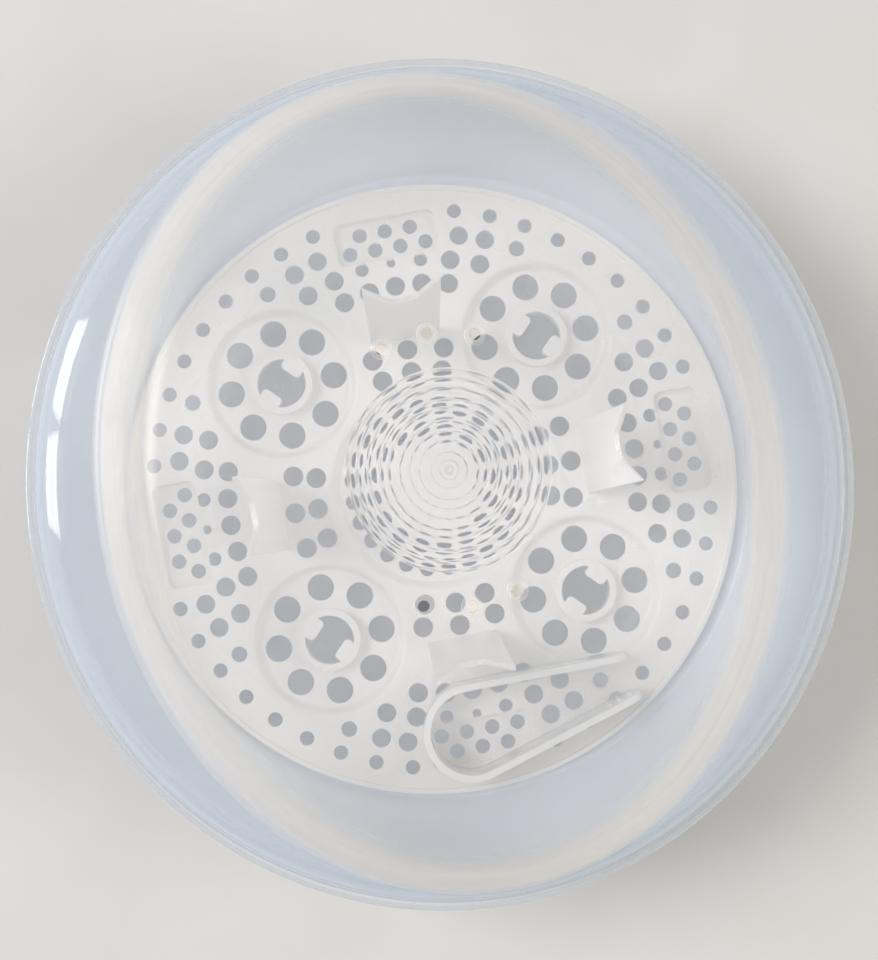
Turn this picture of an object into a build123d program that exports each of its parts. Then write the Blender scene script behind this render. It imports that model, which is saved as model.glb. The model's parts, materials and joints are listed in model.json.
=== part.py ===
from build123d import *
import math
import os

# Microwave steam sterilizer for baby bottles: a round bowl for the water, a
# perforated tray that carries the bottles, a domed lid and a pair of tongs.
# The origin is at the centre of the foot, on the surface it stands on. +Z is
# up, and the slightly oval bowl and lid are longest along Y.

# Bottle tray, in mm. Its radius sets the bowl's and the lid's. It lies loose on the
# bowl's ledge, pushed a little to one side
tray_radius = 111.8
tray_play = 3.2
tray_shift = (-2.4, -0.7)
tray_thickness = 2.0
tray_lip_height = 1.2
tray_lip_width = 1.6

# Base bowl
foot_inset = 6.0
foot_width = 3.0
foot_height = 3.0
bowl_wall = 2.2
floor_corner = 9.0
floor_flare = 12.0
seat_height = 43.0
seat_width = 7.0
bowl_flare = 15.5
mouth_height = 84.0
rim_width = 6.2
rim_thickness = 2.4
rim_extra_length = 4.4

# Four wells, one for the neck of each bottle
well_edge_margin = 16.7
well_radius = 27.5
well_slope = 2.2
well_depth = 4.5
well_hole_inset = 6.1
well_hole_radius = 4.9
well_hole_count = 8
boss_radius = 11.3
boss_wall = 2.4
boss_height = 5.4
boss_tab_width = 8.0
boss_tab_reach = 4.2
boss_tab_corner = 1.6

# Shallow dish in the middle of the tray
dish_radius = 37.5
dish_slope = 2.7
dish_depth = 4.0

# Four pockets near the tray's edge
pocket_inset = 18.0
pocket_width = 38.0
pocket_length = 16.0
pocket_corner = 3.0
pocket_depth = 3.2
pocket_wall = 1.4
pocket_hole_radius = 2.7
pocket_hole_pitch = 9.5
pocket_row_pitch = 6.4

# Steam holes: rows counted in from the tray's edge, in steps of an angle from each axis
steam_step_angle = 7.5
edge_hole_inset = 9.2
edge_hole_radius = 2.65
outer_hole_inset = 18.2
outer_hole_radius = 3.45
outer_first_step = 2.2
outer_end_hole_radius = 2.9
middle_hole_inset = 27.5
middle_hole_radius = 3.5
middle_small_hole_radius = 2.5
middle_centre_hole_radius = 1.65
behind_hole_inset = 36.3
behind_hole_radius = 3.55
# Two rows in front of each upright, and two in the dish with their angles
front_hole_insets = (4.0, 12.4)
front_hole_radius = 3.65
dish_hole_insets = (4.6, 13.2)
dish_hole_angles = (15, 22.5)
dish_hole_radius = 2.8

# Four uprights between the wells
upright_inset = 12.0
upright_width = 26.0
upright_taper = 1.2
upright_height = 80.0
upright_thickness = 2.0
upright_lean_angle = 3.6
notch_depth = 23.0
notch_floor_width = 7.0
notch_floor_bow = 1.0
notch_corner_width = 13.0
notch_corner_drop = 15.0

# Lid
lid_wall = 2.0
skirt_gap = 0.8
skirt_wall = 2.0
skirt_drop = 4.6
flange_thickness = 2.5
flange_width = 4.2
shoulder_rise = 12.5
shoulder_width = 31.8
shoulder_swell = (1.1, 1.6)
dome_side_margin = 23.3
dome_end_margin = 4.6
dome_rise = 77.0
dome_cap_radius = 340.0
dome_edge_fillet = 7.0
dome_side_wall = 2.2
# Share of the dome's rise above the mouth, then how far each side and end has leaned in there
dome_lean = [
    (0.0, -3.0, -2.4),
    (0.156, 0.0, 0.0),
    (0.416, 8.7, 9.2),
    (0.65, 16.8, 17.8),
    (0.82, 21.8, 30.0),
    (1.05, 25.5, 46.0),
]

# Steam vents and the rippled lens at the lid's crown
vent_pitch_radius = 39.0
vent_spread_angle = 20.0
vent_turn_angle = -1.4
vent_hole_radius = 1.7
vent_ring_radius = 3.1
vent_ring_height = 0.8
lens_radius = 29.0
ripple_count = 12
ripple_depth = 0.4
ripple_radius = 1.1
gate_radius = 1.6
gate_height = 0.5

# Tongs, lying on the tray on the edges of their strip
tongs_side_offset = -3.2
tongs_edge_margin = 23.2
tongs_turn_angle = 8.2
tongs_bend_radius = 16.0
tongs_thickness = 2.4
tongs_depth = 16.0
tongs_arm_length = 60.0
tongs_converge_angle = 8.4
tongs_tip_radius = 6.0
tongs_rest_gap = 0.2
tongs_rib_count = 3
tongs_rib_pitch = 4.0
tongs_rib_height = 0.9
tongs_rib_start = 4.0

# Sizes that follow from the ones above
seat_outer_radius = tray_radius + tray_play
seat_inner_radius = seat_outer_radius - seat_width
floor_radius = seat_inner_radius - floor_flare
floor_top = foot_height + bowl_wall
foot_radius = floor_radius - foot_inset
mouth_radius = seat_outer_radius + bowl_flare
rim_radius = mouth_radius + rim_width
skirt_radius = rim_radius + skirt_gap + skirt_wall
oval_ratio = (skirt_radius + rim_extra_length) / skirt_radius
mouth_half_length = mouth_radius + rim_extra_length
shoulder_foot_radius = skirt_radius - flange_width
shoulder_height = mouth_height + flange_thickness + shoulder_rise
crescent_radius = shoulder_foot_radius - shoulder_width
dome_half_width = shoulder_foot_radius - dome_side_margin
dome_half_length = shoulder_foot_radius * oval_ratio - dome_end_margin
dome_height = mouth_height + dome_rise
tray_top = seat_height + tray_thickness
well_pitch_radius = tray_radius - well_edge_margin - well_radius
well_floor_radius = well_radius - well_slope
well_hole_pitch_radius = well_floor_radius - well_hole_inset
boss_bore_radius = boss_radius - boss_wall
dish_floor_radius = dish_radius - dish_slope
pocket_pitch_radius = tray_radius - pocket_inset
upright_radius = well_pitch_radius - upright_inset
quarter_angles = [0, 90, 180, 270]


def bowl_body(wall):
    """The bowl's form, thicker than its hollow by a wall: round up to the ledge, oval at the mouth."""
    ledge_height = seat_height - wall
    with BuildPart() as body:
        with BuildSketch(Plane.XZ) as section:
            with BuildLine():
                Polyline(
                    (0, floor_top - wall),
                    (floor_radius + wall, floor_top - wall),
                    (seat_inner_radius + wall, ledge_height),
                    (0, ledge_height),
                    close=True,
                )
            make_face()
            fillet(section.vertices().sort_by(Axis.Y)[:2].sort_by(Axis.X)[-1], floor_corner)
        revolve(axis=Axis.Z)
        with BuildSketch(Plane.XY.offset(ledge_height)):
            Circle(seat_outer_radius + wall)
        with BuildSketch(Plane.XY.offset(mouth_height)):
            Ellipse(mouth_radius + wall, mouth_half_length + wall)
        loft()
    return body.part


# Base bowl: one wall with a ledge for the tray, a flat rim and a foot ring
with BuildPart() as base_bowl:
    add(bowl_body(bowl_wall))
    with BuildSketch(Plane.XY.offset(mouth_height)):
        Ellipse(rim_radius, rim_radius + rim_extra_length)
    extrude(amount=-rim_thickness)
    add(bowl_body(0), mode=Mode.SUBTRACT)
    with BuildSketch(Plane.XY):
        Circle(foot_radius)
        Circle(foot_radius - foot_width, mode=Mode.SUBTRACT)
    extrude(amount=foot_height)
base_bowl.part.label = "base_bowl"


def steam_holes():
    """Centres and radii of the tray's plain round holes."""
    # Each row: radius of its circle, radius of its holes, and their steps from an axis
    middle_row = tray_radius - middle_hole_inset
    outer_row = tray_radius - outer_hole_inset
    rows = [
        (tray_radius - edge_hole_inset, edge_hole_radius, range(2, 11)),
        (outer_row, outer_hole_radius, (-3, -outer_first_step, outer_first_step, 3)),
        (outer_row, outer_end_hole_radius, (-4, 4)),
        (middle_row, middle_hole_radius, (-3, -2, 2, 3)),
        (middle_row, middle_small_hole_radius, (-1, 1)),
        (middle_row, middle_centre_hole_radius, (0,)),
        (tray_radius - behind_hole_inset, behind_hole_radius, range(-2, 3)),
    ]
    for inset in front_hole_insets:
        rows.append((upright_radius - inset, front_hole_radius, (-2, 0, 2)))
    for inset, turn in zip(dish_hole_insets, dish_hole_angles):
        steps = [number * turn / steam_step_angle for number in range(round(90 / turn))]
        rows.append((dish_floor_radius - inset, dish_hole_radius, steps))
    holes = []
    for axis_angle in quarter_angles:
        for row_radius, hole_radius, steps in rows:
            for step in steps:
                angle = math.radians(axis_angle + step * steam_step_angle)
                place = (row_radius * math.cos(angle), row_radius * math.sin(angle))
                holes.append((place, hole_radius))
    return holes


well_places = [
    (
        well_pitch_radius * math.cos(math.radians(a + 45)),
        well_pitch_radius * math.sin(math.radians(a + 45)),
        tray_top,
    )
    for a in quarter_angles
]
hang_down = (Align.CENTER, Align.CENTER, Align.MAX)

# One upright, standing at the +X side, on a plane that leans outwards
upright_plane = Plane(
    origin=(upright_radius, 0, tray_top),
    x_dir=(0, 1, 0),
    z_dir=(math.cos(math.radians(upright_lean_angle)), 0, -math.sin(math.radians(upright_lean_angle))),
)
with BuildPart() as upright:
    with BuildSketch(upright_plane):
        with BuildLine():
            half_foot = upright_width / 2
            half_top = half_foot - upright_taper / 2
            notch_floor = upright_height - notch_depth
            corner = (notch_corner_width / 2, upright_height - notch_corner_drop)
            right = Polyline(
                (0, -tray_thickness / 2),
                (half_foot, -tray_thickness / 2),
                (half_top, upright_height),
                corner,
            )
            curve = Spline(
                right @ 1,
                (notch_floor_width / 2, notch_floor + notch_floor_bow),
                (0, notch_floor),
                tangents=[(-0.35, -1), (-1, 0)],
            )
            mirror([right, curve], about=Plane.YZ)
        make_face()
    extrude(amount=upright_thickness)

# Tray: a flat disc with sunk wells, dish and pockets, bosses and uprights
with BuildPart() as tray:
    with BuildSketch(Plane.XY.offset(seat_height)):
        Circle(tray_radius)
    extrude(amount=tray_thickness)
    with BuildSketch(Plane.XY.offset(tray_top)):
        Circle(tray_radius)
        Circle(tray_radius - tray_lip_width, mode=Mode.SUBTRACT)
    extrude(amount=tray_lip_height)
    # Undersides of the sunk places
    with Locations(*well_places):
        Cone(
            well_floor_radius + tray_thickness,
            well_radius + tray_thickness,
            well_depth + tray_thickness,
            align=hang_down,
        )
    with Locations((0, 0, tray_top)):
        Cone(
            dish_floor_radius + tray_thickness,
            dish_radius + tray_thickness,
            dish_depth + tray_thickness,
            align=hang_down,
        )
    with BuildSketch(Plane.XY.offset(tray_top)):
        with PolarLocations(pocket_pitch_radius, 4):
            RectangleRounded(
                pocket_length + 2 * pocket_wall,
                pocket_width + 2 * pocket_wall,
                pocket_corner + pocket_wall,
            )
    extrude(amount=-(pocket_depth + pocket_wall))
    # The sunk places themselves
    with Locations(*well_places):
        Cone(well_floor_radius, well_radius, well_depth, align=hang_down, mode=Mode.SUBTRACT)
    with Locations((0, 0, tray_top)):
        Cone(dish_floor_radius, dish_radius, dish_depth, align=hang_down, mode=Mode.SUBTRACT)
    with BuildSketch(Plane.XY.offset(tray_top)):
        with PolarLocations(pocket_pitch_radius, 4):
            RectangleRounded(pocket_length, pocket_width, pocket_corner)
    extrude(amount=-pocket_depth, mode=Mode.SUBTRACT)
    # Bosses that locate the bottle necks
    with BuildSketch(Plane.XY.offset(tray_top - well_depth)):
        with Locations(*[place[:2] for place in well_places]):
            Circle(boss_radius)
    extrude(amount=boss_height)
    # Every hole that goes right through
    with BuildSketch(Plane.XY.offset(tray_top - well_depth - tray_thickness)):
        for place, radius in steam_holes():
            with Locations(place):
                Circle(radius)
        for number, (x, y, _) in enumerate(well_places):
            well_angle = 45 + 90 * number
            with Locations(Location((x, y, 0), (0, 0, 1), well_angle)):
                with PolarLocations(well_hole_pitch_radius, well_hole_count):
                    Circle(well_hole_radius)
                Circle(boss_bore_radius)
                with Locations((0, boss_bore_radius), (0, -boss_bore_radius)):
                    RectangleRounded(
                        boss_tab_width, 2 * boss_tab_reach, boss_tab_corner, mode=Mode.SUBTRACT
                    )
        with PolarLocations(pocket_pitch_radius, 4):
            for row, count in ((0.5, 3), (-0.5, 4)):
                for step in range(count):
                    across = (step - (count - 1) / 2) * pocket_hole_pitch
                    with Locations((row * pocket_row_pitch, across)):
                        Circle(pocket_hole_radius)
    extrude(amount=well_depth + 2 * tray_thickness + boss_height, mode=Mode.SUBTRACT)
    with PolarLocations(0, 4):
        add(upright.part)
tray_whole = tray.part.moved(Location((*tray_shift, 0)))
tray_whole.label = "tray"


def shoulder_line(inset):
    """Half section of the lid's shoulder, from the flange up to the crescents."""
    foot = shoulder_foot_radius - inset
    top = shoulder_height - inset
    return Spline(
        (foot, mouth_height + flange_thickness - inset),
        (crescent_radius, top),
        tangents=[(0, 1), (-1, 0)],
        tangent_scalars=shoulder_swell,
    )


def dome_sections(inset):
    """Ovals that the dome's wall passes through, from below the flange to above the crown."""
    ovals = []
    for share, side_lean, end_lean in dome_lean:
        with BuildSketch(Plane.XY.offset(mouth_height + share * dome_rise)) as oval:
            Ellipse(dome_half_width - side_lean - inset, dome_half_length - end_lean - inset)
        ovals.append(oval.sketch)
    return ovals


def cap_height(radius):
    """Height of the crown's outer face at a distance from the middle."""
    return dome_height - dome_cap_radius + math.sqrt(dome_cap_radius**2 - radius**2)


def crown_edge(dome):
    """The highest of the edges that go all the way round."""
    long_edges = dome.edges().filter_by(lambda e: e.length > 4 * dome_half_width)
    return long_edges.sort_by(Axis.Z)[-1]


vent_places = [
    (
        vent_pitch_radius * math.cos(math.radians(angle)),
        vent_pitch_radius * math.sin(math.radians(angle)),
    )
    for end in (90, 270)
    for angle in (
        end + vent_turn_angle - vent_spread_angle,
        end + vent_turn_angle,
        end + vent_turn_angle + vent_spread_angle,
    )
]

# Dome: an oval wall that leans in, closed by a flat round cap
with BuildPart() as dome_outside:
    loft(dome_sections(0))
    with Locations((0, 0, dome_height - dome_cap_radius)):
        Sphere(dome_cap_radius, mode=Mode.INTERSECT)
    fillet(crown_edge(dome_outside), dome_edge_fillet)
with BuildPart() as dome_inside:
    loft(dome_sections(dome_side_wall))
    with Locations((0, 0, dome_height - lid_wall - dome_cap_radius)):
        Sphere(dome_cap_radius, mode=Mode.INTERSECT)
    fillet(crown_edge(dome_inside), dome_edge_fillet - lid_wall)

# Hollow under the lid's flange and shoulder
with BuildPart() as lid_hollow:
    with BuildSketch(Plane.XZ):
        with BuildLine():
            inner_shoulder = shoulder_line(lid_wall)
            Polyline(
                inner_shoulder @ 1,
                (0, shoulder_height - lid_wall),
                (0, mouth_height - skirt_drop - 1),
                (skirt_radius - skirt_wall, mouth_height - skirt_drop - 1),
                (skirt_radius - skirt_wall, mouth_height),
                ((inner_shoulder @ 0).X, mouth_height),
                inner_shoulder @ 0,
            )
        make_face()
    revolve(axis=Axis.Z)
    scale(by=(1, oval_ratio, 1))

# Lid: skirt and flange round the bowl's rim, shoulder with its two crescents, and the dome
with BuildPart() as lid:
    with BuildSketch(Plane.XZ):
        with BuildLine():
            shoulder = shoulder_line(0)
            Polyline(
                shoulder @ 1,
                (0, shoulder_height),
                (0, mouth_height - skirt_drop),
                (skirt_radius, mouth_height - skirt_drop),
                (skirt_radius, mouth_height + flange_thickness),
                shoulder @ 0,
            )
        make_face()
    revolve(axis=Axis.Z)
    scale(by=(1, oval_ratio, 1))
    add(dome_outside.part)
    add(lid_hollow.part, mode=Mode.SUBTRACT)
    add(dome_inside.part, mode=Mode.SUBTRACT)
    # Steam vents: a raised ring round each hole
    vent_top = cap_height(vent_pitch_radius) + vent_ring_height
    with BuildSketch(Plane.XY.offset(vent_top)):
        with Locations(*vent_places):
            Circle(vent_ring_radius)
    extrude(amount=-(vent_ring_height + lid_wall / 2))
    with BuildSketch(Plane.XY.offset(vent_top)):
        with Locations(*vent_places):
            Circle(vent_hole_radius)
    extrude(amount=-(vent_ring_height + 3 * lid_wall), mode=Mode.SUBTRACT)
    # Rippled lens: rings of shallow round-bottomed grooves about the moulding gate
    with BuildSketch(Plane.XZ):
        for ring in range(ripple_count):
            ring_radius = lens_radius * (ring + 1) / ripple_count - ripple_radius
            ring_height = cap_height(ring_radius) + ripple_radius - ripple_depth
            with Locations((ring_radius, ring_height)):
                Circle(ripple_radius)
        Rectangle(2 * lens_radius, 4 * dome_height, align=Align.MAX, mode=Mode.SUBTRACT)
    revolve(axis=Axis.Z, mode=Mode.SUBTRACT)
    with Locations((0, 0, dome_height)):
        Cylinder(gate_radius, 2 * gate_height)
lid.part.label = "lid"

# Tongs: one sprung strip in two halves that meet at the crown of its bend
tongs_plane = Plane(
    origin=(
        tray_shift[0] + tongs_side_offset,
        tray_shift[1] + tongs_edge_margin - tray_radius,
        tray_top + tongs_rest_gap,
    ),
    x_dir=(math.cos(math.radians(tongs_turn_angle)), math.sin(math.radians(tongs_turn_angle)), 0),
    z_dir=(0, 0, 1),
)


def tongs_arm(side):
    """Half the bend and one arm; side is 1 for the arm nearer the tray's middle, else -1."""
    sweep_angle = -side * (90 + tongs_converge_angle)
    along = Vector(
        math.cos(math.radians(tongs_converge_angle)), -side * math.sin(math.radians(tongs_converge_angle))
    )
    with BuildPart() as arm:
        with BuildSketch(tongs_plane):
            with BuildLine():
                outer = CenterArc(
                    (0, 0), tongs_bend_radius + tongs_thickness / 2, 180, sweep_angle
                )
                inner = CenterArc(
                    (0, 0), tongs_bend_radius - tongs_thickness / 2, 180, sweep_angle
                )
                outer_tip = outer @ 1 + along * tongs_arm_length
                inner_tip = inner @ 1 + along * tongs_arm_length
                Polyline(outer @ 1, outer_tip, inner_tip, inner @ 1)
                Line(inner @ 0, outer @ 0)
            make_face()
        extrude(amount=tongs_depth)
        tip_edges = arm.edges().filter_by(
            lambda e: abs(e.length - tongs_thickness) < 0.01
            and tongs_plane.to_local_coords(e.center()).X > tongs_arm_length / 2
        )
        fillet(tip_edges, tongs_tip_radius)
        # Grip ribs across the inner face of the tip
        with BuildSketch(tongs_plane.offset(tongs_tip_radius / 2)):
            for number in range(tongs_rib_count):
                back = tongs_rib_start + number * tongs_rib_pitch
                spot = inner_tip - along * back
                with Locations((spot.X, spot.Y)):
                    Circle(tongs_rib_height)
        extrude(amount=tongs_depth - tongs_tip_radius)
    return arm


tongs_inner_arm = tongs_arm(1)
tongs_inner_arm.part.label = "tongs_inner_arm"
tongs_outer_arm = tongs_arm(-1)
tongs_outer_arm.part.label = "tongs_outer_arm"

os.makedirs("parts", exist_ok=True)
for whole in (
    base_bowl.part,
    tray_whole,
    lid.part,
    tongs_inner_arm.part,
    tongs_outer_arm.part,
):
    export_step(whole, "parts/" + whole.label + ".step")
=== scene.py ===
import json
import math

import bmesh
import bpy
import numpy as np
from mathutils import Euler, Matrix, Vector


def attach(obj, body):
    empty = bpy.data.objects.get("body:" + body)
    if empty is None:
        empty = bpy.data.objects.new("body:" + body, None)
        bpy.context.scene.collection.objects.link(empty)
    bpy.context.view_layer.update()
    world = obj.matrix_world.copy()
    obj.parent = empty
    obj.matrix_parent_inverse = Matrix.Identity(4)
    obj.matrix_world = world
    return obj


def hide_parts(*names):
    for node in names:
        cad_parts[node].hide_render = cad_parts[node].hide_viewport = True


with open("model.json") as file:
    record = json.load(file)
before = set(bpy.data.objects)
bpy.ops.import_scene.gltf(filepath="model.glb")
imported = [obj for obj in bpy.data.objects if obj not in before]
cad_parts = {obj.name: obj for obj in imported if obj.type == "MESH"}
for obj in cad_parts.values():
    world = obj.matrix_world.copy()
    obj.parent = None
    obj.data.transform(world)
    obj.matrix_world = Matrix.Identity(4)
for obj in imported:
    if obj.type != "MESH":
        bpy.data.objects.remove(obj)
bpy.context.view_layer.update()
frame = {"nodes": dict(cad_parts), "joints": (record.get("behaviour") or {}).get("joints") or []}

SCENE = bpy.context.scene
MM = 0.001

# Camera: a hand-held view almost straight down, the object turned a little to the left
lens = bpy.data.cameras.new("camera")
lens.sensor_width = 36.0
lens.lens = 49.673
lens.clip_start = 0.01
camera = bpy.data.objects.new("camera", lens)
camera.location = (-0.01451, -0.01425, 0.53162)
camera.rotation_euler = Euler((math.radians(2.131), math.radians(-1.335), math.radians(-10.801)))
SCENE.collection.objects.link(camera)
SCENE.camera = camera
SCENE.view_settings.view_transform = "Standard"

# Sizes that the pieces share, in mm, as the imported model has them
MOUTH = 84.0
FLANGE_TOP = 86.5
SKIRT_RADIUS = 139.5
SKIRT_INSIDE = 137.5
SKIRT_FOOT = 79.4
SHOULDER_FOOT = 135.3
LID_OVAL = 143.9 / SKIRT_RADIUS
MOUTH_RADIUS = 130.5
MOUTH_OVAL = 134.9 / MOUTH_RADIUS
SHELL = 2.0
CAP_TOP = 161.0
CAP_RADIUS = 340.0
LENS_RADIUS = 29.0
LENS_RIDGES = 10
VENT_RADIUS = 39.0
LEDGE = 43.0
TRAY_TOP = 45.0
TRAY_CENTRE = Vector((-2.4, -0.7))
# The tray's wells, each as far out along both axes, and the dish in its middle
WELL_OFFSET = 47.8
WELL_RADIUS = 27.5
WELL_FLOOR = 40.5
WELL_FLOOR_RADIUS = 25.3
DISH_RADIUS = 37.5
# Hairline left where the lid and the tray rest on the bowl, so that no two faces coincide
HAIRLINE = 0.08
# Two corners meet when they are this near, in metres
WELD = 1e-6
# An edge is shaded sharp from this angle
SHARP = math.radians(35)
# Places of the finishes on the lid and on the bowl
WALL, LENS, COLLAR, SHOULDER = range(4)
THICK, THIN = range(2)


# Materials
def colour(code):
    """Linear RGBA of an sRGB hex code."""
    parts = [int(code[i : i + 2], 16) / 255 for i in (1, 3, 5)]
    return [p / 12.92 if p <= 0.04045 else ((p + 0.055) / 1.055) ** 2.4 for p in parts] + [1.0]


def add_node(tree, kind, inputs=None, **settings):
    """One node with its settings, and each input given as a value or as a socket to link."""
    node = tree.nodes.new(kind)
    for key, value in settings.items():
        setattr(node, key, value)
    for key, value in (inputs or {}).items():
        if isinstance(value, bpy.types.NodeSocket):
            tree.links.new(value, node.inputs[key])
        else:
            node.inputs[key].default_value = value
    return node


def new_material(name):
    """A material with an empty node tree, and that tree."""
    material = bpy.data.materials.new(name)
    material.use_nodes = True
    material.node_tree.nodes.clear()
    return material, material.node_tree


def moulding_marks(tree, grain_mm, grain_depth):
    """Clouds where the resin flowed, hairline scuffs and the fine grain of the mould."""
    # The scuffs are drawn out to 17 mm
    cloud_mm, scuff_mm = 26.0, 0.5
    place = add_node(tree, "ShaderNodeTexCoord").outputs["Object"]
    cloud = add_node(
        tree, "ShaderNodeTexNoise", {"Vector": place, "Scale": 1 / (cloud_mm * MM), "Detail": 1.0}
    ).outputs["Fac"]
    drawn = add_node(
        tree, "ShaderNodeMapping", {"Vector": place, "Rotation": (0, 0, 0.6), "Scale": (1, 0.03, 1)}
    ).outputs[0]
    scuff = add_node(
        tree, "ShaderNodeTexNoise", {"Vector": drawn, "Scale": 1 / (scuff_mm * MM), "Detail": 0.0}
    ).outputs["Fac"]
    # Only the peaks of the noise are scuffs
    scuff = add_node(
        tree, "ShaderNodeMapRange", {"Value": scuff, "From Min": 0.66, "From Max": 0.78}
    ).outputs[0]
    grain = add_node(
        tree, "ShaderNodeTexNoise", {"Vector": place, "Scale": 1 / (grain_mm * MM), "Detail": 1.0}
    ).outputs["Fac"]
    bump = add_node(
        tree, "ShaderNodeBump", {"Height": grain, "Strength": 0.5, "Distance": grain_depth * MM}
    ).outputs[0]
    return cloud, scuff, bump


def facing_terms(tree, edge_on):
    """How squarely a face is seen, and the shine that clear plastic has at that angle."""
    head_on, grazing, far_loss = 0.04, 0.9, 0.75
    facing = add_node(tree, "ShaderNodeLayerWeight", {"Blend": 0.5}).outputs["Facing"]
    squarely = add_node(
        tree, "ShaderNodeMath", {0: 1.0, 1: facing}, operation="SUBTRACT"
    ).outputs[0]
    squarely = add_node(
        tree, "ShaderNodeMath", {0: squarely, 1: edge_on}, operation="MAXIMUM"
    ).outputs[0]
    shine = add_node(tree, "ShaderNodeMath", {0: facing, 1: 5.0}, operation="POWER").outputs[0]
    shine = add_node(
        tree,
        "ShaderNodeMath",
        {0: shine, 1: grazing, 2: head_on},
        operation="MULTIPLY_ADD",
        use_clamp=True,
    ).outputs[0]
    # The far face of a wall shines less, because its light crosses the milk twice
    far_face = add_node(tree, "ShaderNodeNewGeometry").outputs["Backfacing"]
    kept = add_node(
        tree, "ShaderNodeMath", {0: far_face, 1: -far_loss, 2: 1.0}, operation="MULTIPLY_ADD"
    ).outputs[0]
    shine = add_node(tree, "ShaderNodeMath", {0: shine, 1: kept}, operation="MULTIPLY").outputs[0]
    return squarely, shine


def milk(tree, glow, finish):
    """White scattering in the plastic, which passes on this share of the light."""
    return add_node(
        tree,
        "ShaderNodeMixShader",
        {
            "Fac": glow,
            1: add_node(tree, "ShaderNodeBsdfDiffuse", finish).outputs[0],
            2: add_node(tree, "ShaderNodeBsdfTranslucent", finish).outputs[0],
        },
    ).outputs[0]


def thinning(tree, stations):
    """Share of the haze at each height of a wall that is thick at its foot and thin above.

    The four stations are (height in mm, share): where the foot ends, where the thin wall
    starts and ends, and where the crown has its own thickness.
    """
    place = add_node(tree, "ShaderNodeTexCoord").outputs["Object"]
    height = add_node(tree, "ShaderNodeSeparateXYZ", {"Vector": place}).outputs["Z"]
    shares = []
    for (low, first), (high, last) in (stations[:2], stations[2:]):
        limits = {"From Min": low * MM, "From Max": high * MM, "To Min": first, "To Max": last}
        shares.append(
            add_node(tree, "ShaderNodeMapRange", {"Value": height, **limits}).outputs[0]
        )
    return add_node(
        tree, "ShaderNodeMath", dict(enumerate(shares)), operation="MAXIMUM"
    ).outputs[0]


def moulded_polypropylene(name, flat, steep, haze, glow, roughness, edge_on=0.1, stations=None):
    """Injection-moulded natural polypropylene.

    The eye sees a milky body. Its colour runs from the flat tone on faces that lie flat to
    the steep tone on steep walls, and that shift is painted light: it stands in for cool
    light from above on the flat faces and warm window light on the steep walls. It hides
    more where a wall is seen edge-on, light glows through it from behind, and on it lie
    faint clouds where the resin flowed and an oily shine.
    haze is how much a wall hides when it is seen squarely, and glow the share of the light
    that it passes on. edge_on is the squareness at which a wall counts as seen edge-on,
    which is more on short rims. stations give the haze by height, as thinning says.
    """
    material, tree = new_material(name)
    cloud, scuff, bump = moulding_marks(tree, 0.8, 0.006)
    squarely, shine = facing_terms(tree, edge_on)
    # Painted light: flat faces take the flat tone and steep walls the steep tone, standing in for
    # cool light from above and warm window light on the walls; the resin clouds shift it a little
    normal = add_node(tree, "ShaderNodeNewGeometry").outputs["Normal"]
    up = add_node(tree, "ShaderNodeSeparateXYZ", {"Vector": normal}).outputs["Z"]
    level = add_node(tree, "ShaderNodeMath", {0: up}, operation="ABSOLUTE").outputs[0]
    slope = add_node(tree, "ShaderNodeMath", {0: 1.0, 1: level}, operation="SUBTRACT").outputs[0]
    painted_light_and_cloud_share = add_node(tree, "ShaderNodeMath", {0: slope, 1: 1.2}, operation="MULTIPLY").outputs[0]
    painted_light_and_cloud_share = add_node(
        tree, "ShaderNodeMath", {0: cloud, 1: 0.25, 2: painted_light_and_cloud_share}, operation="MULTIPLY_ADD"
    ).outputs[0]
    tint = add_node(
        tree,
        "ShaderNodeMix",
        {"Factor": painted_light_and_cloud_share, "A": colour(flat), "B": colour(steep)},
        data_type="RGBA",
    ).outputs["Result"]
    body = milk(tree, glow, {"Color": tint, "Normal": bump})
    # The clouds vary the haze by up to a quarter
    cloudy = add_node(
        tree, "ShaderNodeMath", {0: cloud, 1: 0.5 * haze, 2: 0.75 * haze}, operation="MULTIPLY_ADD"
    ).outputs[0]
    thickness = add_node(
        tree, "ShaderNodeMath", {0: cloudy, 1: squarely}, operation="DIVIDE"
    ).outputs[0]
    if stations:
        thickness = add_node(
            tree,
            "ShaderNodeMath",
            {0: thickness, 1: thinning(tree, stations)},
            operation="MULTIPLY",
        ).outputs[0]
    # The light that passes falls off exponentially with the milk that it crosses
    loss = add_node(
        tree, "ShaderNodeMath", {0: thickness, 1: -1.0}, operation="MULTIPLY"
    ).outputs[0]
    passed = add_node(tree, "ShaderNodeMath", {0: loss}, operation="EXPONENT").outputs[0]
    hidden = add_node(tree, "ShaderNodeMath", {0: 1.0, 1: passed}, operation="SUBTRACT").outputs[0]
    milky = add_node(
        tree,
        "ShaderNodeMixShader",
        {"Fac": hidden, 1: add_node(tree, "ShaderNodeBsdfTransparent").outputs[0], 2: body},
    ).outputs[0]
    scuffed = add_node(
        tree, "ShaderNodeMath", {0: scuff, 1: 0.04, 2: roughness}, operation="MULTIPLY_ADD"
    ).outputs[0]
    gloss = add_node(
        tree,
        "ShaderNodeBsdfAnisotropic",
        {"Color": (1, 1, 1, 1), "Roughness": scuffed, "Normal": bump},
    ).outputs[0]
    surface = add_node(tree, "ShaderNodeMixShader", {"Fac": shine, 1: milky, 2: gloss}).outputs[0]
    add_node(tree, "ShaderNodeOutputMaterial", {"Surface": surface})
    return material


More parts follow.
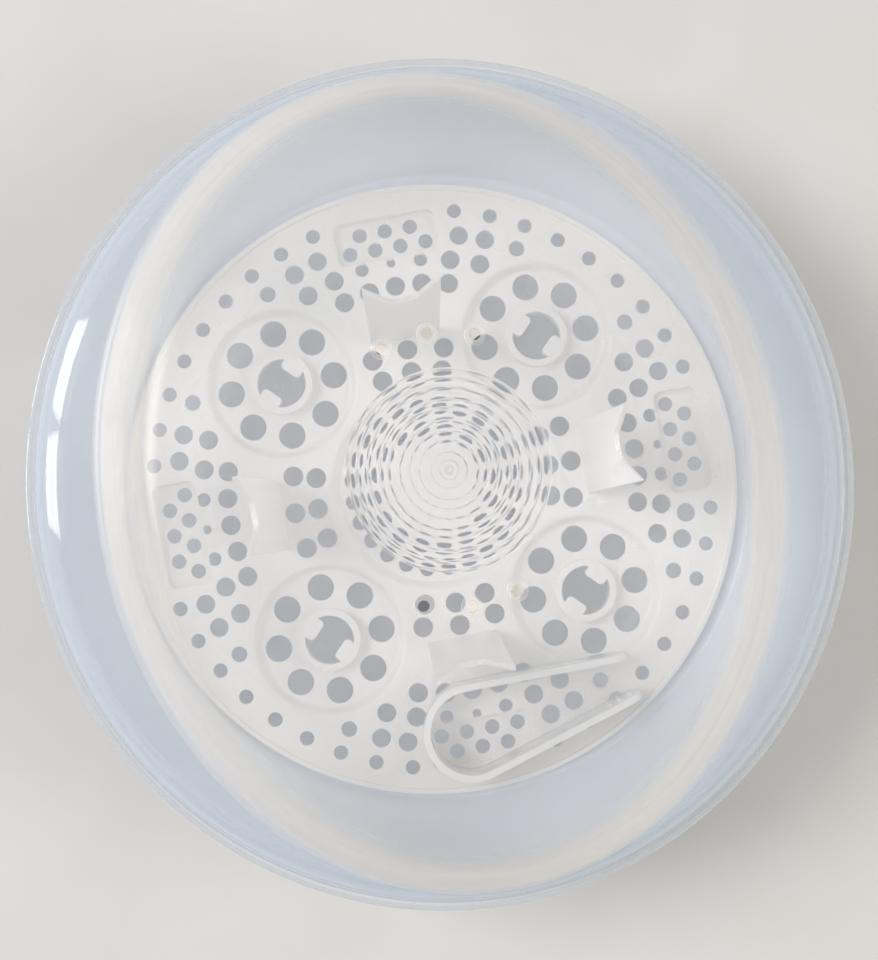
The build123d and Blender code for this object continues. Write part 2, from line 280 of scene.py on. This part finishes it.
def polished_clear_lens(name):
    """The same plastic, polished clear in the mould.

    The eye sees the tray bent and broken up by the ripples, with a bright line on each
    ridge and a little milk left in the plastic.
    """
    material, tree = new_material(name)
    cloud, scuff, bump = moulding_marks(tree, 1.5, 0.004)
    scuffed = add_node(
        tree, "ShaderNodeMath", {0: scuff, 1: 0.03, 2: 0.02}, operation="MULTIPLY_ADD"
    ).outputs[0]
    glass = add_node(
        tree,
        "ShaderNodeBsdfGlass",
        {"Color": colour("#FFFFFF"), "Roughness": scuffed, "IOR": 1.49, "Normal": bump},
    ).outputs[0]
    haze = add_node(
        tree, "ShaderNodeMath", {0: cloud, 1: 0.05, 2: 0.12}, operation="MULTIPLY_ADD"
    ).outputs[0]
    milky = milk(tree, 0.5, {"Color": colour("#E6EAF0")})
    body = add_node(tree, "ShaderNodeMixShader", {"Fac": haze, 1: glass, 2: milky}).outputs[0]
    # Light for the tray goes straight through, because a bent ray never finds a lamp
    passing = add_node(tree, "ShaderNodeLightPath").outputs["Is Shadow Ray"]
    clear = add_node(tree, "ShaderNodeBsdfTransparent", {"Color": colour("#F2F6FA")}).outputs[0]
    surface = add_node(tree, "ShaderNodeMixShader", {"Fac": passing, 1: body, 2: clear}).outputs[0]
    add_node(tree, "ShaderNodeOutputMaterial", {"Surface": surface})
    return material


def honed_board(name):
    """A pale matt board.

    The eye sees soft mottling and a fine tooth, and nothing else to look at.
    """
    mottle_mm, tooth_mm = 60.0, 1.2
    material, tree = new_material(name)
    place = add_node(tree, "ShaderNodeTexCoord").outputs["Object"]
    mottle = add_node(
        tree,
        "ShaderNodeTexNoise",
        {"Vector": place, "Scale": 1 / (mottle_mm * MM), "Detail": 5.0, "Distortion": 0.4},
    ).outputs["Fac"]
    tint = add_node(
        tree,
        "ShaderNodeMix",
        {"Factor": mottle, "A": colour("#CFCCC7"), "B": colour("#C5C1BB")},
        data_type="RGBA",
    ).outputs["Result"]
    tooth = add_node(
        tree, "ShaderNodeTexNoise", {"Vector": place, "Scale": 1 / (tooth_mm * MM), "Detail": 3.0}
    ).outputs["Fac"]
    bump = add_node(
        tree, "ShaderNodeBump", {"Height": tooth, "Strength": 0.3, "Distance": 0.05 * MM}
    ).outputs[0]
    board = add_node(
        tree,
        "ShaderNodeBsdfPrincipled",
        {"Base Color": tint, "Roughness": 0.6, "IOR": 1.45, "Normal": bump},
    ).outputs[0]
    add_node(tree, "ShaderNodeOutputMaterial", {"Surface": board})
    return material


# Mesh tools
def finish_piece(name, bm, body, node, materials):
    """Turns a mesh into a piece that stands for a node and rides on its body."""
    bmesh.ops.recalc_face_normals(bm, faces=bm.faces)
    for face in bm.faces:
        face.smooth = True
    mesh = bpy.data.meshes.new(name)
    bm.to_mesh(mesh)
    bm.free()
    mesh.set_sharp_from_angle(angle=SHARP)
    piece = bpy.data.objects.new(name, mesh)
    SCENE.collection.objects.link(piece)
    for material in materials:
        mesh.materials.append(material)
    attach(piece, body)
    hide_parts(node)
    return piece


def distances(points):
    """How far along the line each point lies."""
    return np.concatenate([[0], np.cumsum(np.hypot(*np.diff(points, axis=0).T))])


def resample(points, count):
    """The same line with this many evenly spaced points."""
    points = np.asarray(points, float)
    along = distances(points)
    spots = np.linspace(0, along[-1], count)
    return np.stack([np.interp(spots, along, points[:, k]) for k in (0, 1)], axis=1)


def trimmed(points, start, end):
    """The line without this much length at its start and end."""
    points = np.asarray(points, float)
    along = distances(points)
    most = along[-1] * 0.45
    start = min(start, most)
    end = min(end, most)
    inner = along[(along > start) & (along < along[-1] - end)]
    spots = np.concatenate([[start], inner, [along[-1] - end]])
    return np.stack([np.interp(spots, along, points[:, k]) for k in (0, 1)], axis=1)


def section(runs, rounds):
    """One section line from its runs.

    Each run is (points, count), and each joint between runs is (length given up on both
    sides, points on the curve that bridges them).
    """
    cuts = [0.0] + [cut for cut, _ in rounds] + [0.0]
    pieces = [
        (trimmed(points, cuts[k], cuts[k + 1]), count) for k, (points, count) in enumerate(runs)
    ]
    line = []
    for k, (points, count) in enumerate(pieces):
        line.extend(resample(points, count))
        if k < len(rounds):
            corner = np.asarray(runs[k][0][-1], float)
            start, end = points[-1], pieces[k + 1][0][0]
            steps = rounds[k][1]
            for step in range(1, steps + 1):
                t = step / (steps + 1)
                line.append((1 - t) ** 2 * start + 2 * t * (1 - t) * corner + t**2 * end)
    return np.array(line)


def turn(bm, points, steps):
    """Spins a line of points once round Z."""
    verts = [bm.verts.new(point) for point in points]
    edges = [bm.edges.new(pair) for pair in zip(verts, verts[1:])]
    bmesh.ops.spin(
        bm,
        geom=verts + edges,
        cent=(0, 0, 0),
        axis=(0, 0, 1),
        angle=math.tau,
        steps=steps,
        use_merge=True,
    )


def spun(line, steps):
    """A closed mesh of revolution about Z from a section line in mm."""
    bm = bmesh.new()
    turn(bm, [(x * MM, 0, z * MM) for x, z in line], steps)
    bmesh.ops.remove_doubles(bm, verts=bm.verts, dist=WELD)
    return bm


def boolean(piece, tool, operation):
    """Joins or cuts one mesh with another and removes the tool."""
    modifier = piece.modifiers.new("boolean", "BOOLEAN")
    modifier.object = tool
    modifier.operation = operation
    modifier.solver = "EXACT"
    graph = bpy.context.evaluated_depsgraph_get()
    mesh = bpy.data.meshes.new_from_object(piece.evaluated_get(graph))
    piece.modifiers.clear()
    old = piece.data
    piece.data = mesh
    bpy.data.meshes.remove(old)
    bpy.data.objects.remove(tool)


# Lid
# Where the flat part of each crescent ends
CRESCENT_RADIUS = 103.5
CRESCENT_HEIGHT = 99.0
# How far the rounding at the dome's foot reaches out onto the shoulder
FOOT_FILLET = 1.5
# Points on a curve before it is cut to size and spaced evenly
CURVE_POINTS = 600
# Relief of the lens
BEAD_HALF_WIDTH = 0.17
BEAD_RISE = 0.08
SCALLOP_DEPTH = 0.025
GATE_RADIUS = 1.0
GATE_RISE = 0.45


def shoulder_curve(inset):
    """Half section of the shoulder, from the crescent's flat part down to the flange."""
    start = np.array((CRESCENT_RADIUS, CRESCENT_HEIGHT - inset))
    end = np.array((SHOULDER_FOOT - inset, FLANGE_TOP - inset))
    t = np.linspace(0, 1, CURVE_POINTS)[:, None]
    s = 1 - t
    # The curve leaves the flat part level and comes down on the flange upright
    near = start + (18.2, 0)
    far = end + (0, 12.5)
    return s**3 * start + 3 * t * s**2 * near + 3 * t**2 * s * far + t**3 * end


# Stations of the dome's oval wall: heights, and how far out its sides and its ends lie there
WALL_HEIGHTS = np.array((84.0, 96.0, 116.0, 134.0, 147.1, 164.9))
WALL_SIDES = np.array((115.0, 112.0, 103.3, 95.2, 90.2, 86.5))
WALL_ENDS = np.array((137.4, 135.0, 125.8, 117.2, 105.0, 89.0))


def smooth_through(heights, values, wanted):
    """Values at the wanted heights on a smooth curve through the stations."""
    slopes = np.gradient(values, heights)
    at = np.clip(np.searchsorted(heights, wanted) - 1, 0, len(heights) - 2)
    step = heights[at + 1] - heights[at]
    t = (wanted - heights[at]) / step
    return (
        (2 * t**3 - 3 * t**2 + 1) * values[at]
        + (t**3 - 2 * t**2 + t) * step * slopes[at]
        + (3 * t**2 - 2 * t**3) * values[at + 1]
        + (t**3 - t**2) * step * slopes[at + 1]
    )


def stretch(angle):
    """How much further out the oval flange lies in one direction than at the sides."""
    return LID_OVAL / math.hypot(LID_OVAL * math.cos(angle), math.sin(angle))


def shoulder_limit(angle, inset):
    """How far out the dome's wall may reach, half a millimetre short of the shoulder's foot."""
    return SHOULDER_FOOT * stretch(angle) - inset - 0.5


def wall_radius(angle, heights, inset=0.0):
    """How far out the dome's wall lies in one direction."""
    side = smooth_through(WALL_HEIGHTS, WALL_SIDES, heights) - inset
    end = smooth_through(WALL_HEIGHTS, WALL_ENDS, heights) - inset
    return side * end / np.hypot(end * math.cos(angle), side * math.sin(angle))


def wall_curve(angle, inset):
    """Radius and height of the dome's wall in one direction, from above the crown downwards."""
    heights = np.linspace(WALL_HEIGHTS[-1], FLANGE_TOP - 2, CURVE_POINTS)
    radius = wall_radius(angle, heights, inset)
    return np.stack([np.minimum(radius, shoulder_limit(angle, inset)), heights], axis=1)


def cap(radius, inset):
    """Height of the shallow round crown at this radius."""
    return CAP_TOP - inset - CAP_RADIUS + np.sqrt(CAP_RADIUS**2 - np.asarray(radius, float) ** 2)


def lens_ridges():
    """Radii of the fine ridges on the lens, which aren't quite evenly spaced."""
    count = np.arange(1, LENS_RIDGES + 1)
    return LENS_RADIUS * (count - 0.12 + 0.09 * np.sin(2.4 * count)) / LENS_RIDGES


def lens_radii():
    """Radii of the lens's rings of points, close together on the gate and on each ridge."""
    radii = [0, 0.35, 0.7, 1.0, 1.3, 1.7]
    before = radii[-1]
    for ridge in lens_ridges():
        radii += list(np.linspace(before + 0.3, ridge - 2 * BEAD_HALF_WIDTH, 5))
        radii += [ridge - BEAD_HALF_WIDTH, ridge, ridge + BEAD_HALF_WIDTH]
        before = ridge + 0.04
    return np.array(radii + [LENS_RADIUS])


def ripple(radius):
    """Height of the lens's relief.

    It has shallow scallops, a round bead where they meet and a raised gate in the middle.
    """
    ridges = lens_ridges()
    phase = np.interp(radius, [0, *ridges], np.arange(len(ridges) + 1))
    scallop = np.abs(np.sin(math.pi * phase))
    nearest = np.min(abs(np.asarray(radius)[:, None] - ridges), axis=1)
    bead = np.exp(-((nearest / BEAD_HALF_WIDTH) ** 2))
    gate = GATE_RISE / (1 + np.exp((radius - GATE_RADIUS) * 7))
    return BEAD_RISE * bead - SCALLOP_DEPTH * scallop + gate


def crossing(first, second):
    """The first point where two lines, given as points, cross."""
    a, b = first[:-1, None], first[1:, None] - first[:-1, None]
    c, d = second[None, :-1], second[None, 1:] - second[None, :-1]
    det = b[..., 0] * d[..., 1] - b[..., 1] * d[..., 0]
    det = np.where(abs(det) < 1e-9, 1e-9, det)
    gap = c - a
    s = (gap[..., 0] * d[..., 1] - gap[..., 1] * d[..., 0]) / det
    t = (gap[..., 0] * b[..., 1] - gap[..., 1] * b[..., 0]) / det
    hits = np.argwhere((s >= 0) & (s <= 1) & (t >= 0) & (t <= 1))
    if not len(hits):
        return None
    i, j = hits[0]
    return first[i] + s[i, j] * (first[i + 1] - first[i])


def shell_runs(angle, inset, wall_inset):
    """Cap, wall and shoulder of one face of the lid in one direction, from the crown outwards."""
    wall = wall_curve(angle, wall_inset)
    radii = np.linspace(0, 120, 1000)
    crown_line = np.stack([radii, cap(radii, inset)], axis=1)
    above = wall[:, 1] > cap(np.minimum(wall[:, 0], 120), inset)
    crown = crossing(wall[above.sum() - 2 : above.sum() + 2], crown_line)
    shoulder = shoulder_curve(inset) * (stretch(angle), 1)
    foot = crossing(wall[above.sum() + 50 :], shoulder)
    if foot is None:
        foot = np.array((shoulder_limit(angle, inset), FLANGE_TOP - inset + 1.2))
    cap_part = np.vstack([crown_line[crown_line[:, 0] < crown[0]], crown])
    inner = wall[(wall[:, 1] < crown[1]) & (wall[:, 1] > foot[1])]
    wall_part = np.vstack([crown, inner, foot])
    shoulder_part = np.vstack([foot, shoulder[shoulder[:, 0] > foot[0] + 0.05]])
    return cap_part, wall_part, shoulder_part


def lid_line(angle):
    """The lid's whole section in one direction.

    It runs over the outer face, round the skirt, and along the inner face to the middle.
    """
    cap_part, wall_part, shoulder_part = shell_runs(angle, 0.0, 0.0)
    inner_cap, inner_wall, inner_shoulder = shell_runs(angle, SHELL, SHELL + 0.2)
    lens_r = lens_radii()
    lens_part = np.stack([lens_r, cap(lens_r, 0) + ripple(lens_r)], axis=1)
    # Close rings round the vents, wider ones beyond
    near = np.linspace(LENS_RADIUS + 0.6, 44.0, 20)
    near_part = np.stack([near, cap(near, 0)], axis=1)
    far_cap = np.vstack([near_part[-1:], cap_part[cap_part[:, 0] > 44.5]])
    lens_back_r = np.linspace(LENS_RADIUS, 0, 10)
    lens_back = np.stack([lens_back_r, cap(lens_back_r, SHELL)], axis=1)
    inner_cap = np.vstack([lens_back[:1], inner_cap[inner_cap[:, 0] > LENS_RADIUS + 0.5]])
    corners = [
        (SHOULDER_FOOT, FLANGE_TOP),
        (SKIRT_RADIUS, FLANGE_TOP),
        (SKIRT_RADIUS, SKIRT_FOOT),
        (SKIRT_INSIDE, SKIRT_FOOT),
        (SKIRT_INSIDE, MOUTH),
        (SHOULDER_FOOT - SHELL, MOUTH),
    ]
    corners = [(r * stretch(angle), z) for r, z in corners]
    skirt = [([a, b], count) for a, b, count in zip(corners, corners[1:], (4, 5, 2, 4, 3))]
    body = section(
        [(far_cap, 24), (wall_part, 28), (shoulder_part, 20)]
        + skirt
        + [(inner_shoulder[::-1], 12), (inner_wall[::-1], 18), (inner_cap[::-1], 22)],
        [(7.0, 9), (2.6, 6), (0.7, 3), (1.1, 5), (0.8, 3), (0.7, 3), (0.5, 2), (0.4, 2)]
        + [(2.0, 4), (5.0, 6)],
    )
    return np.vstack([lens_part, near_part, body[1:], lens_back[1:]])


def build_lid():
    """The lid without its vents: an oval dome on an oval flange, with the rippled lens."""
    steps = 256
    # The four quarters are alike, so one is worked out and mirrored
    quarter = [lid_line(math.tau * k / steps) for k in range(steps // 4 + 1)]
    half = quarter + quarter[-2::-1]
    lines = half + half[-2:0:-1]
    rings = len(lines[0])
    bm = bmesh.new()
    # A plain cylinder first: each ring of it then takes its place on the lid
    turn(bm, [(1, 0, ring) for ring in range(rings)], steps)
    for v in bm.verts:
        angle = math.atan2(v.co.y, v.co.x)
        radius, height = lines[round(angle / math.tau * steps) % steps][round(v.co.z)]
        v.co = (radius * math.cos(angle) * MM, radius * math.sin(angle) * MM, height * MM)
    bmesh.ops.remove_doubles(bm, verts=bm.verts, dist=WELD)
    for face in bm.faces:
        centre = face.calc_center_median() / MM
        radius = math.hypot(centre.x, centre.y)
        foot = wall_radius(math.atan2(centre.y, centre.x), WALL_HEIGHTS[1:2])[0]
        if radius < LENS_RADIUS:
            face.material_index = LENS
        elif radius > foot + FOOT_FILLET:
            face.material_index = SHOULDER
    return bm


def vent_centres():
    """Three vents 20 degrees apart on each side of the lens."""
    return [
        (VENT_RADIUS * math.cos(math.radians(a)), VENT_RADIUS * math.sin(math.radians(a)))
        for a in (68.6, 88.6, 108.6, 248.6, 268.6, 288.6)
    ]


def vent_tools():
    """The collars to add round the vents, and the bores to cut through them."""
    base = float(cap(VENT_RADIUS, 0))
    collar, bore, flare = 3.1, 1.7, 2.1
    foot, top = base - 1.0, base + 0.8
    collar_line = section(
        [
            ([(0, foot), (collar, foot)], 3),
            ([(collar, foot), (collar, top)], 3),
            ([(collar, top), (0, top)], 3),
        ],
        [(0.2, 1), (0.45, 4)],
    )
    below, mouth, above = base - 6, base + 0.55, base + 1.1
    bore_line = np.array([(0, below), (bore, below), (bore, mouth), (flare, above), (0, above)])
    tools = []
    for name, line in (("collars", collar_line), ("bores", bore_line)):
        whole = bmesh.new()
        for x, y in vent_centres():
            one = spun(line, 32)
            bmesh.ops.translate(one, verts=one.verts, vec=(x * MM, y * MM, 0))
            mesh = bpy.data.meshes.new("one")
            bmesh.ops.recalc_face_normals(one, faces=one.faces)
            for face in one.faces:
                face.material_index = COLLAR if name == "collars" else WALL
            one.to_mesh(mesh)
            one.free()
            whole.from_mesh(mesh)
            bpy.data.meshes.remove(mesh)
        mesh = bpy.data.meshes.new(name)
        whole.to_mesh(mesh)
        whole.free()
        for material in LID_MATERIALS:
            mesh.materials.append(material)
        tool = bpy.data.objects.new(name, mesh)
        SCENE.collection.objects.link(tool)
        tools.append(tool)
    return tools


# Bowl
BOWL_FLOOR = 5.2
BOWL_WALL = 2.2
FLOOR_RADIUS = 96.0
LEDGE_INNER = 108.0
LEDGE_OUTER = 115.0
LEDGE_UNDER = 40.8
RIM_RADIUS = 136.7
RIM_UNDER = 81.6
FOOT_HEIGHT = 3.0
FOOT_OUTSIDE = 90.0
FOOT_INSIDE = 87.0
# The wall under the ledge lets more light through, and has a paler colour there that is painted
# light
THIN_BELOW = 40.0


def bowl_line():
    """Section of the bowl, from the middle over the inside to the rim and back underneath.

    Each corner is (point, length given up on both sides, points on the curve that bridges
    them, points on the run that follows).
    """
    ledge = LEDGE - HAIRLINE
    rim = MOUTH - HAIRLINE
    corners = [
        ((0, BOWL_FLOOR), 0, 0, 12),
        ((FLOOR_RADIUS, BOWL_FLOOR), 7.0, 7, 6),
        ((LEDGE_INNER, ledge), 1.2, 4, 3),
        ((LEDGE_OUTER, ledge), 1.0, 4, 10),
        ((MOUTH_RADIUS, rim), 1.2, 5, 3),
        ((RIM_RADIUS, rim), 0.8, 4, 2),
        ((RIM_RADIUS, RIM_UNDER), 0.8, 4, 2),
        ((MOUTH_RADIUS + BOWL_WALL, RIM_UNDER), 1.0, 4, 10),
        ((LEDGE_OUTER + BOWL_WALL, LEDGE_UNDER), 1.6, 4, 3),
        ((LEDGE_INNER + BOWL_WALL, LEDGE_UNDER), 1.6, 4, 8),
        ((FLOOR_RADIUS + BOWL_WALL, FOOT_HEIGHT), 7.0, 7, 3),
        ((FOOT_OUTSIDE, FOOT_HEIGHT), 0.5, 2, 2),
        ((FOOT_OUTSIDE, 0), 0.8, 4, 2),
        ((FOOT_INSIDE, 0), 0.8, 4, 2),
        ((FOOT_INSIDE, FOOT_HEIGHT), 0.5, 2, 10),
        ((0, FOOT_HEIGHT), 0, 0, 0),
    ]
    runs = [([here[0], there[0]], here[3]) for here, there in zip(corners, corners[1:])]
    return section(runs, [corner[1:3] for corner in corners[1:-1]])


def build_bowl():
    """Bowl that is round up to the tray's ledge and widens to the oval mouth."""
    bm = spun(bowl_line(), 192)
    for v in bm.verts:
        rise = min(max((v.co.z / MM - LEDGE) / (MOUTH - LEDGE), 0), 1)
        v.co.y *= 1 + (MOUTH_OVAL - 1) * rise
    for face in bm.faces:
        face.material_index = THIN if face.calc_center_median().z / MM < THIN_BELOW else THICK
    return bm


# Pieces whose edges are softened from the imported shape
def packed_copy(node):
    """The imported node's mesh, merged, with its flat places cleared of inner edges."""
    bm = bmesh.new()
    bm.from_mesh(frame["nodes"][node].data)
    bmesh.ops.remove_doubles(bm, verts=bm.verts, dist=WELD)
    bmesh.ops.dissolve_limit(
        bm, angle_limit=math.radians(0.5), verts=bm.verts, edges=bm.edges, delimit={"NORMAL"}
    )
    return bm


def soften(bm, wanted, width_mm, segments):
    """Rounds the sharp edges that pass a test."""
    sharp = math.radians(32)
    edges = [
        e
        for e in bm.edges
        if len(e.link_faces) == 2 and e.calc_face_angle() > sharp and wanted(e)
    ]
    bmesh.ops.bevel(
        bm,
        geom=edges,
        offset=width_mm * MM,
        offset_type="OFFSET",
        segments=segments,
        profile=0.5,
        affect="EDGES",
        clamp_overlap=True,
        material=-1,
    )


def middle_of(edge):
    """Middle of an edge in mm."""
    return (edge.verts[0].co + edge.verts[1].co) / 2 / MM


def well_rim(edge):
    """True for an edge on the rim or floor circle of a well or of the dish."""
    at = middle_of(edge) - TRAY_CENTRE.to_3d()
    from_well = Vector((abs(at.x) - WELL_OFFSET, abs(at.y) - WELL_OFFSET)).length
    from_middle = Vector((at.x, at.y)).length
    circles = (
        (from_well, WELL_RADIUS, TRAY_TOP),
        (from_middle, DISH_RADIUS, TRAY_TOP),
        (from_well, WELL_FLOOR_RADIUS, WELL_FLOOR),
    )
    return any(
        abs(distance - radius) < 0.15 and abs(at.z - height) < 0.01
        for distance, radius, height in circles
    )


def build_tray():
    """The tray with soft well rims, rounded uprights and a fine break on every hole."""
    bm = packed_copy("tray")
    soften(bm, well_rim, 1.1, 4)
    soften(bm, lambda edge: middle_of(edge).z > TRAY_TOP + 2, 0.55, 3)
    soften(bm, lambda edge: middle_of(edge).z <= TRAY_TOP + 2, 0.28, 2)
    return bm


def build_arm(node):
    """One arm of the tongs with rounded edges, left square where the two arms meet."""
    bm = packed_copy(node)
    # The last joint is the squeeze, whose axis runs through the bend
    pivot = Vector(frame["joints"][-1]["pos_m"][:2]) / MM

    def free_edge(edge):
        """True for an edge more than 2 mm from the face where the arms meet."""
        return (middle_of(edge).to_2d() - pivot).length > 2.0

    soften(bm, free_edge, 0.55, 3)
    return bm


# Finishes
# Lid: thin milk under a soft shine, dense where the plastic is thick at the dome's foot, with a
# warm cream painted on its steep walls as painted window light
milky_lid = moulded_polypropylene(
    "lid_milky_polypropylene",
    "#EAEDF2",
    "#F6F0E8",
    haze=0.25,
    glow=0.5,
    roughness=0.3,
    edge_on=0.08,
    stations=((113, 1.7), (123, 0.4), (143, 0.4), (152, 1.0)),
)
# Shoulder and skirt of the lid: see-through and glossy enough to mirror the window; their cool tone
# on flat faces and paler tone on steep ones are painted light
glossy_shoulder = moulded_polypropylene(
    "shoulder_glossy_polypropylene",
    "#DBE2EB",
    "#E9ECEF",
    haze=0.26,
    glow=0.5,
    roughness=0.06,
    edge_on=0.45,
)
# Vent collars: small and thick, so they look whiter than the crown
# Their steep sides take a warmer white than their tops, as painted light
dense_collar = moulded_polypropylene(
    "vent_collar_polypropylene", "#F4F4F3", "#FFFBF5", haze=0.4, glow=0.5, roughness=0.08
)
clear_lens = polished_clear_lens("lens_clear_polypropylene")
# Bowl: frosted, so that it hides what lies behind it and looks cool through the lid
frosted_bowl = moulded_polypropylene(
    "bowl_frosted_polypropylene",
    "#E4E9EF",
    "#E6EBF1",
    haze=1.8,
    glow=0.22,
    roughness=0.22,
    edge_on=0.5,
)
# Bowl below the ledge: it passes more light, and its paler colour is painted light that brightens
# the floor seen through the tray's holes
thin_bowl_painted_light = moulded_polypropylene(
    "bowl_thin_painted_light_polypropylene", "#F0F3F6", "#E6EBF1", haze=1.6, glow=0.4, roughness=0.22, edge_on=0.5
)
# Tray and tongs: solid and creamy with a satin face
cream_tray = moulded_polypropylene(
    "tray_cream_polypropylene", "#F8F2E9", "#F8F2E9", haze=2.4, glow=0.14, roughness=0.28
)
# The tongs' steep sides take a greyer, darker tone than their tops: painted shade
cream_tongs = moulded_polypropylene(
    "tongs_cream_polypropylene", "#FCF7EF", "#EDEBE8", haze=2.4, glow=0.25, roughness=0.22
)
# In the order of WALL, LENS, COLLAR and SHOULDER
LID_MATERIALS = [milky_lid, clear_lens, dense_collar, glossy_shoulder]

# Pieces
lid = finish_piece("lid_shell", build_lid(), "lid", "lid", LID_MATERIALS)
collars, bores = vent_tools()
boolean(lid, collars, "UNION")
boolean(lid, bores, "DIFFERENCE")
lid.data.set_sharp_from_angle(angle=SHARP)
finish_piece(
    "bowl_shell", build_bowl(), "base", "base_bowl", [frosted_bowl, thin_bowl_painted_light]
)
finish_piece("tray_plate", build_tray(), "tray", "tray", [cream_tray])
for name, body, node in (
    ("tongs_arm_inner", "tongs", "tongs_inner_arm"),
    ("tongs_arm_outer", "tongs_free_arm", "tongs_outer_arm"),
):
    finish_piece(name, build_arm(node), body, node, [cream_tongs])

# Floor and light
bm = bmesh.new()
bmesh.ops.create_grid(bm, x_segments=8, y_segments=8, size=2.5)
floor_mesh = bpy.data.meshes.new("floor")
bm.to_mesh(floor_mesh)
bm.free()
floor_mesh.materials.append(honed_board("floor_board"))
floor = bpy.data.objects.new("floor", floor_mesh)
SCENE.collection.objects.link(floor)

# Lamps, in metres
LAMP_DISTANCE = 1.6
AIM_HEIGHT = 0.08


def soft_box(name, azimuth, elevation, size, watts, hue, reflected):
    """A rectangular soft light 1.6 m from the object.

    It is either a reflection in the gloss or light on the object, so that each can be set
    alone and no lamp burns out a glossy edge.
    """
    light = bpy.data.lights.new(name, "AREA")
    light.shape = "RECTANGLE"
    light.size, light.size_y = size
    light.energy = watts
    light.color = colour(hue)[:3]
    lamp = bpy.data.objects.new(name, light)
    a, e = math.radians(azimuth), math.radians(elevation)
    direction = Vector((math.cos(e) * math.cos(a), math.cos(e) * math.sin(a), math.sin(e)))
    lamp.location = direction * LAMP_DISTANCE + Vector((0, 0, AIM_HEIGHT))
    lamp.rotation_euler = direction.to_track_quat("Z", "Y").to_euler()
    lamp.visible_glossy = reflected
    lamp.visible_diffuse = not reflected
    lamp.visible_transmission = not reflected
    SCENE.collection.objects.link(lamp)


soft_box("window_glow", 159, 52, (0.7, 0.6), 20.0, "#FCFAFF", reflected=False)
soft_box("wall_glow", -20, 17, (1.2, 0.5), 5.5, "#FFEAD9", reflected=False)
soft_box("high_glow", -20, 45, (0.8, 0.6), 9.0, "#FFFAF5", reflected=False)
# Two panes of the window, which leave a split streak on the glossy lid
for pane, azimuth in (("left_pane", 151), ("right_pane", 168)):
    soft_box(pane, azimuth, 30, (0.34, 0.7), 7.0, "#FFF8EC", reflected=True)

world = bpy.data.worlds.new("room")
world.use_nodes = True
# The backdrop is shown paler than it lights the object
light_level, shown_level = 0.57, 0.9
seen = add_node(world.node_tree, "ShaderNodeLightPath").outputs["Is Camera Ray"]
strength = add_node(
    world.node_tree,
    "ShaderNodeMath",
    {0: seen, 1: shown_level - light_level, 2: light_level},
    operation="MULTIPLY_ADD",
).outputs[0]
background = world.node_tree.nodes["Background"]
background.inputs["Color"].default_value = colour("#DEE8EE")
world.node_tree.links.new(strength, background.inputs["Strength"])
SCENE.world = world
